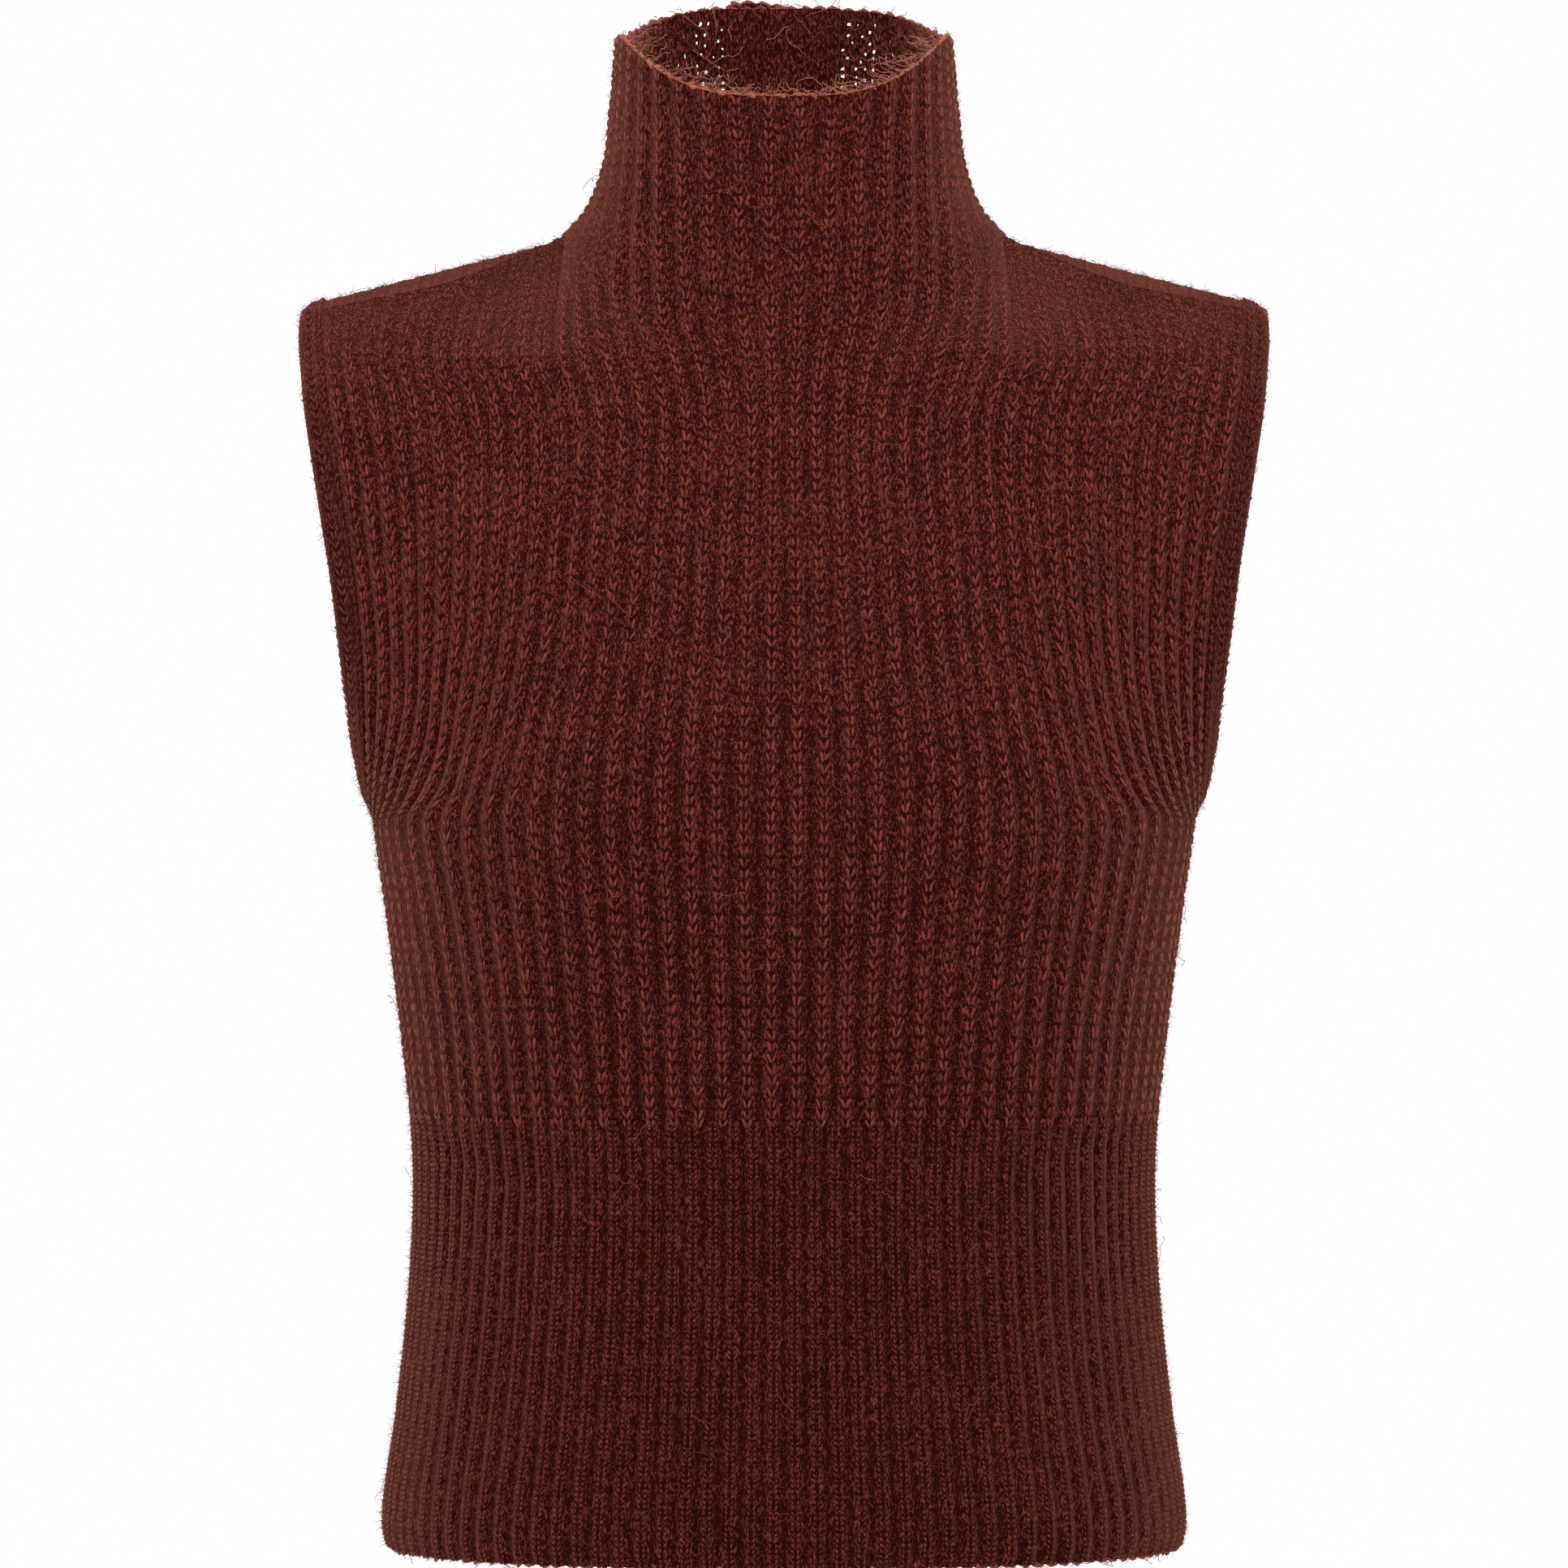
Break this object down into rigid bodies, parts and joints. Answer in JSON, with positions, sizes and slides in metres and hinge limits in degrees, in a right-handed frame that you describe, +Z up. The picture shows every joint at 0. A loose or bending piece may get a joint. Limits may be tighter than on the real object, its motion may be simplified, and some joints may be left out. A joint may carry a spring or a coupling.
{
  "type": "sleeveless rib-knit funnel-neck vest",
  "caption": "Sleeveless pullover vest in thick ribbed wool with a high funnel neck and a finer rib from waist to hem, hollow as worn.",
  "frame": {"origin": "midway between the two points where the shoulders meet the neck, where the wearer's shoulders hold it up", "axes": "+Z up along the body, the front faces -Y, +X towards the wearer's left"},
  "size_m": [0.4284, 0.2463, 0.6879],
  "materials": {
    "body_knit": "thick fuzzy ribbed wool",
    "waist_knit": "finer fuzzy ribbed wool",
    "band_knit": "close-knitted wool edging"
  },
  "bodies": {
    "root": {"front_panel_upper": "body_knit", "front_panel_lower": "body_knit", "back_panel_upper": "body_knit", "back_panel_lower": "body_knit", "neck_back_over": "body_knit", "neck_back_under": "body_knit", "waist_rib_front": "waist_knit", "waist_rib_back": "waist_knit", "armhole_band_left": "band_knit", "armhole_band_right": "band_knit"}
  },
  "joints": []
}
